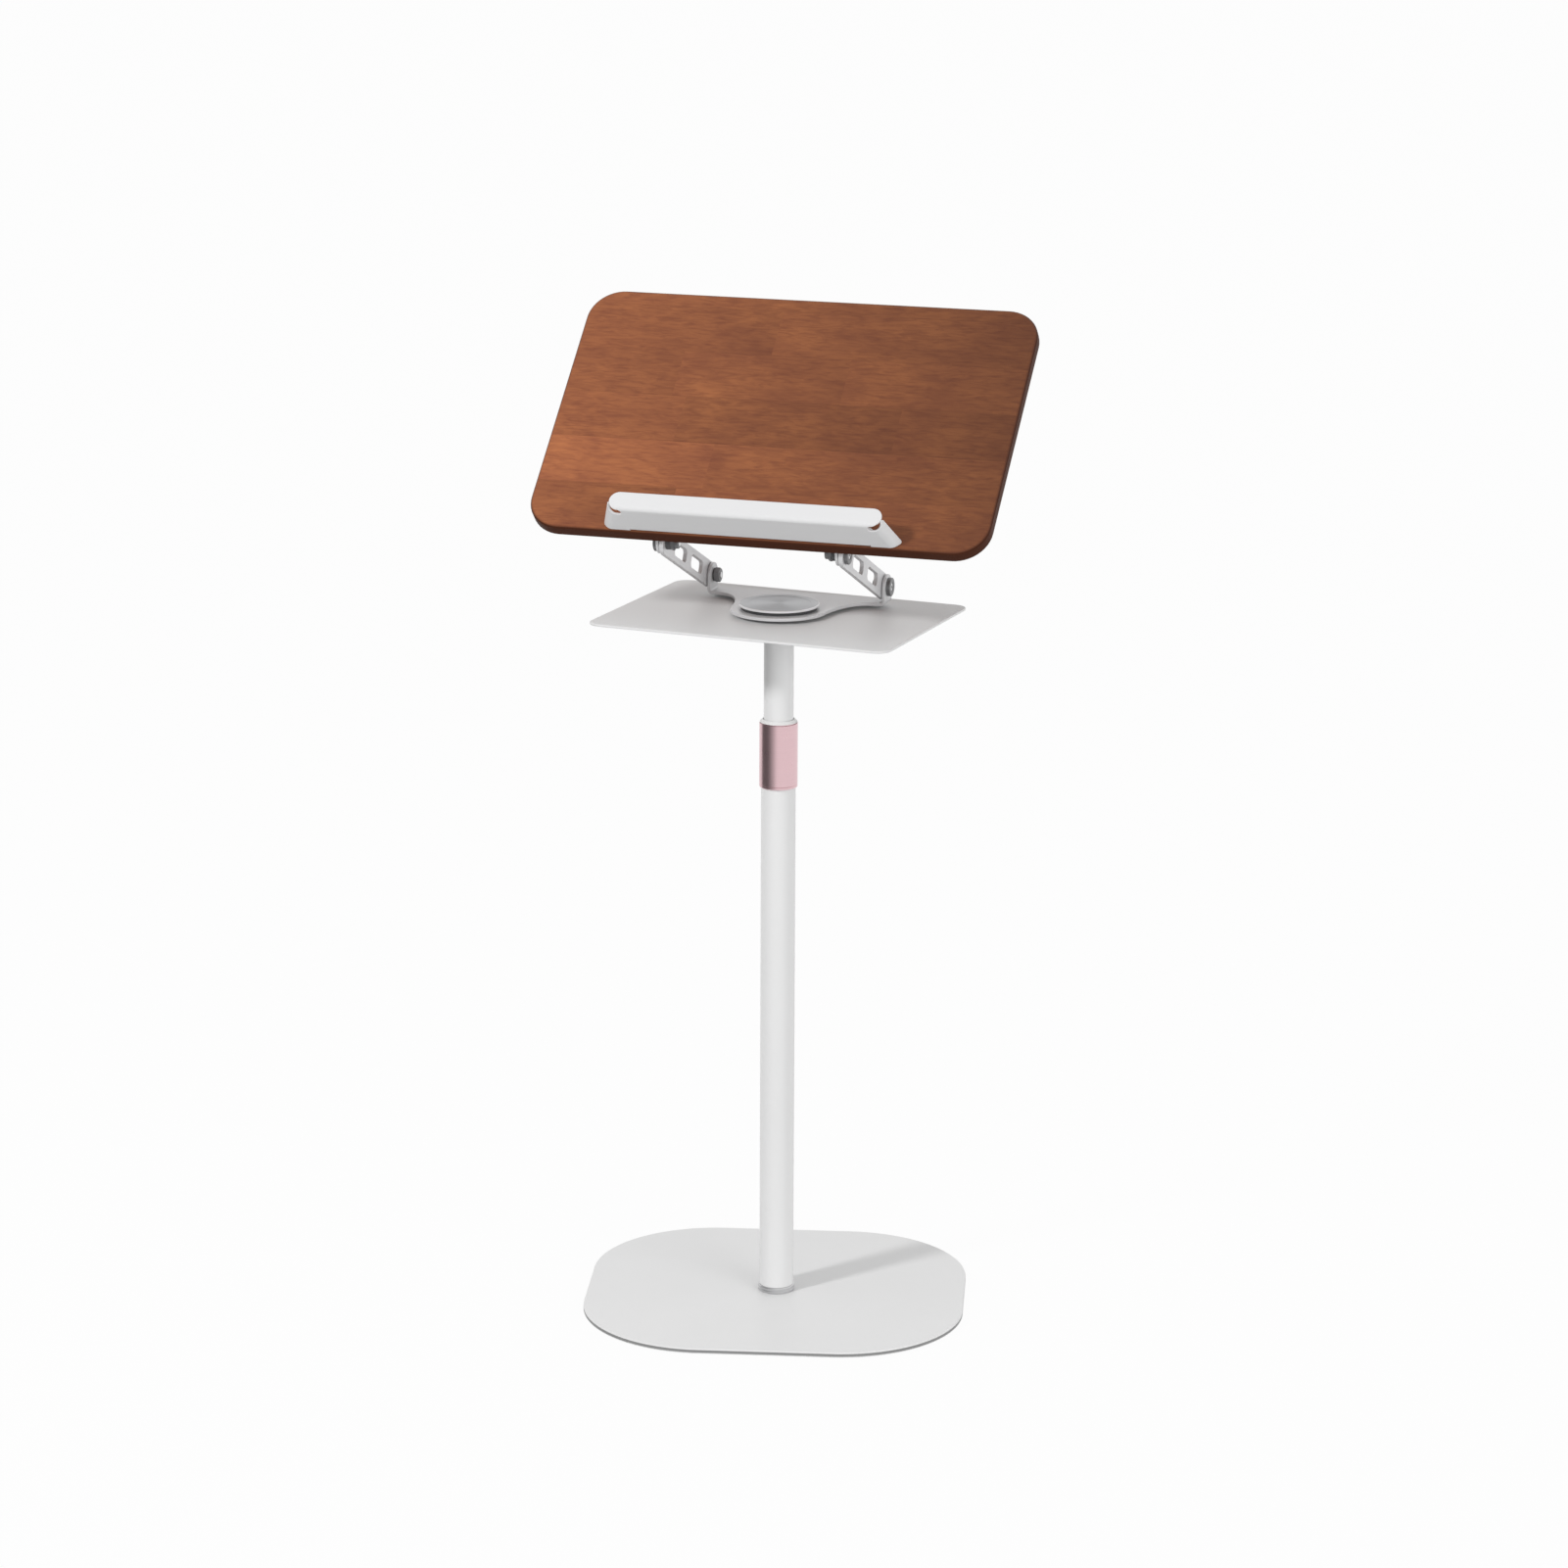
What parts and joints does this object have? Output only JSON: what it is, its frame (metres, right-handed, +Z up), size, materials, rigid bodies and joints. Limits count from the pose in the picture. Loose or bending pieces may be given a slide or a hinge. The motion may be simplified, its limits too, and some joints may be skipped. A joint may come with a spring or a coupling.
{
  "type": "adjustable reading stand",
  "caption": "Floor-standing reading stand with a flat base, a telescoping post, a tray, and a wooden board with a ledge that swivels and tilts on hinged arms.",
  "frame": {"origin": "on the floor under the axis of the post, at the middle of the bottom of the centre pad", "axes": "+Z up along the post, +X along the board's width, -Y towards the reader; the base plate is turned 13.8 degrees and the tray -5.1 degrees about +Z, as in the picture"},
  "size_m": [0.378, 0.3036, 0.8161],
  "materials": {
    "white_coat": "satin white powder coat",
    "tray_coat": "satin pale grey powder coat",
    "hinge_metal": "satin silver coat",
    "spun_aluminium": "spun, with fine rings",
    "pink_anodised": "satin pink anodised",
    "walnut": "walnut-stained edge-glued wood, satin lacquer",
    "dark_steel": "black oxide",
    "bright_steel": "bright zinc",
    "grey_nylon": "moulded nylon",
    "black_rubber": "matt rubber"
  },
  "bodies": {
    "base": {"base_plate": "white_coat", "floor_pad_front_left": "black_rubber", "floor_pad_front_right": "black_rubber", "floor_pad_rear_left": "black_rubber", "floor_pad_rear_right": "black_rubber", "centre_pad": "black_rubber", "base_screw": "bright_steel", "foot_collar": "bright_steel", "foot_plug": "bright_steel", "lower_tube": "white_coat", "guide_bush": "grey_nylon", "clamp_nipple": "grey_nylon", "collet": "grey_nylon"},
    "sleeve": {"lock_sleeve": "pink_anodised"},
    "glide": {"bottom_glide": "grey_nylon"},
    "column": {"upper_tube": "white_coat", "tray_hub": "bright_steel", "tray_plate": "tray_coat", "lower_bearing": "grey_nylon", "pivot_screw": "bright_steel"},
    "turntable": {"swivel_bracket": "hinge_metal", "turntable_disc": "spun_aluminium", "upper_washer": "grey_nylon"},
    "arms": {"left_arm": "hinge_metal", "left_lower_cup": "dark_steel", "left_lower_pin": "bright_steel", "left_lower_washer": "grey_nylon", "left_lower_spring_washers": "dark_steel", "left_lower_nut": "dark_steel", "left_upper_cup": "dark_steel", "left_upper_pin": "bright_steel", "left_upper_washer": "grey_nylon", "left_upper_spring_washers": "dark_steel", "left_upper_nut": "dark_steel", "right_arm": "hinge_metal", "right_lower_cup": "dark_steel", "right_lower_pin": "bright_steel", "right_lower_washer": "grey_nylon", "right_lower_spring_washers": "dark_steel", "right_lower_nut": "dark_steel", "right_upper_cup": "dark_steel", "right_upper_pin": "bright_steel", "right_upper_washer": "grey_nylon", "right_upper_spring_washers": "dark_steel", "right_upper_nut": "dark_steel"},
    "board": {"reading_board": "walnut", "left_hinge_leaf": "hinge_metal", "right_hinge_leaf": "hinge_metal", "left_top_leaf_screw": "dark_steel", "left_middle_leaf_screw": "dark_steel", "left_low_leaf_screw": "dark_steel", "right_top_leaf_screw": "dark_steel", "right_middle_leaf_screw": "dark_steel", "right_low_leaf_screw": "dark_steel", "book_ledge": "white_coat", "left_ledge_screw": "bright_steel", "middle_ledge_screw": "bright_steel", "right_ledge_screw": "bright_steel"}
  },
  "joints": [
    {"name": "sleeve_twist", "type": "hinge", "parent": "base", "child": "sleeve", "pos_m": [0, 0, 0.4645], "axis": [0, 0, 1], "range_deg": [0, 180]},
    {"name": "post_height", "type": "slide", "parent": "base", "child": "glide", "axis": [0, 0, 1], "range_m": [-0.052, 0.27]},
    {"name": "post_turn", "type": "hinge", "parent": "glide", "child": "column", "pos_m": [0, 0, 0.4505], "axis": [0, 0, 1], "continuous": true},
    {"name": "board_swivel", "type": "hinge", "parent": "column", "child": "turntable", "pos_m": [0, 0, 0.583], "axis": [0, 0, 1], "continuous": true},
    {"name": "arms_raise", "type": "hinge", "parent": "turntable", "child": "arms", "pos_m": [0, 0.053, 0.595], "axis": [1, 0, 0], "range_deg": [-41, 18]},
    {"name": "board_tilt", "type": "hinge", "parent": "arms", "child": "board", "pos_m": [0, -0.05367, 0.64183], "axis": [1, 0, 0], "range_deg": [-42, 46]}
  ]
}
